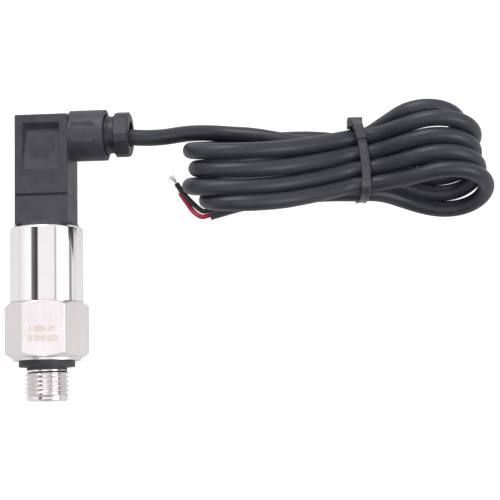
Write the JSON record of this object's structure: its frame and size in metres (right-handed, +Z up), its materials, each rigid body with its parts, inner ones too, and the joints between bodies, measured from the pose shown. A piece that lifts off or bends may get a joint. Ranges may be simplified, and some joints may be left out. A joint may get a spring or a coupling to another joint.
{
  "type": "pressure transmitter",
  "caption": "Pressure transmitter with a stainless hex process connection, a right-angle plug with a cable gland and a hank of two-core cable.",
  "frame": {"origin": "on the process thread's axis, in the plane of the hexagon's sealing face", "axes": "+Y along the thread's axis from the thread up the body to the plug, +X towards the cable outlet, +Z up from the surface that the transmitter lies on"},
  "size_m": [0.1472, 0.0875, 0.0312],
  "materials": {
    "fitting_steel": "turned and milled stainless steel, satin",
    "sleeve_steel": "polished stainless steel",
    "seal_rubber": "moulded sealing rubber, matt",
    "cell_ceramic": "ground ceramic disc",
    "spring_steel": "turned ring, plain",
    "board_green": "glass-fibre circuit board",
    "chip_black": "moulded epoxy",
    "capacitor_sleeve": "shrunk film",
    "contact_tin": "tinned contact metal",
    "lead_wire": "thin insulation",
    "base_plastic": "moulded glass-filled plastic, fine texture",
    "bush_brass": "turned brass",
    "gasket_rubber": "moulded silicone sheet",
    "housing_plastic": "moulded plastic, fine texture",
    "insert_plastic": "moulded plastic",
    "screw_steel": "zinc-plated steel",
    "nut_plastic": "moulded plastic, satin",
    "cable_jacket": "soft extruded jacket, slight sheen",
    "red_insulation": "extruded insulation, glossy",
    "black_insulation": "extruded insulation",
    "tinned_strands": "stranded tinned copper",
    "tie_nylon": "moulded nylon"
  },
  "bodies": {
    "transmitter": {"hex_fitting": "fitting_steel", "thread_seal": "seal_rubber", "cell_seal": "seal_rubber", "sensor_cell": "cell_ceramic", "lock_ring": "spring_steel", "sleeve": "sleeve_steel", "amplifier_board": "board_green", "amplifier_chip": "chip_black", "left_capacitor": "capacitor_sleeve", "right_capacitor": "capacitor_sleeve", "cell_pins": "contact_tin", "plug_base": "base_plastic", "threaded_bush": "bush_brass", "base_seal": "seal_rubber", "east_blade": "contact_tin", "west_blade": "contact_tin", "south_blade": "contact_tin", "earth_blade": "contact_tin", "east_lead_wire": "lead_wire", "west_lead_wire": "lead_wire", "north_lead_wire": "lead_wire", "profile_gasket": "gasket_rubber", "plug_housing": "housing_plastic", "terminal_insert": "insert_plastic", "east_socket": "contact_tin", "west_socket": "contact_tin", "south_socket": "contact_tin", "north_socket": "contact_tin", "clamp_screws": "screw_steel", "gland_seal": "seal_rubber", "cable_lead": "cable_jacket", "cable_tail": "cable_jacket", "cable_hank": "cable_jacket", "cable_tie": "tie_nylon", "red_core": "red_insulation", "black_core": "black_insulation", "red_core_tip": "tinned_strands", "black_core_tip": "tinned_strands", "red_inner_core": "red_insulation", "black_inner_core": "black_insulation"},
    "screw_washer_ring": {"screw_washer": "seal_rubber"},
    "plug_screw": {"retaining_screw": "screw_steel"},
    "gland_pressure_ring": {"gland_washer": "nut_plastic"},
    "gland_compression_nut": {"gland_nut": "nut_plastic"}
  },
  "joints": [
    {"name": "plug_screw_advance", "type": "slide", "parent": "transmitter", "child": "screw_washer_ring", "axis": [0, 1, 0], "range_m": [0, 0.004]},
    {"name": "plug_screw_turn", "type": "hinge", "parent": "screw_washer_ring", "child": "plug_screw", "pos_m": [0, 0.0702, 0], "axis": [0, 1, 0], "range_deg": [0, 2880]},
    {"name": "gland_nut_advance", "type": "slide", "parent": "transmitter", "child": "gland_pressure_ring", "axis": [0.9942, 0, 0.108], "range_m": [0, 0.003]},
    {"name": "gland_nut_turn", "type": "hinge", "parent": "gland_pressure_ring", "child": "gland_compression_nut", "pos_m": [0.01889, 0.0675, 0.00205], "axis": [0.9942, 0, 0.108], "range_deg": [0, 720]}
  ],
  "couplings": [
    {"joint": "plug_screw_turn", "follows": "plug_screw_advance", "rad_per_m": 12566},
    {"joint": "gland_nut_turn", "follows": "gland_nut_advance", "rad_per_m": 4188.8}
  ]
}
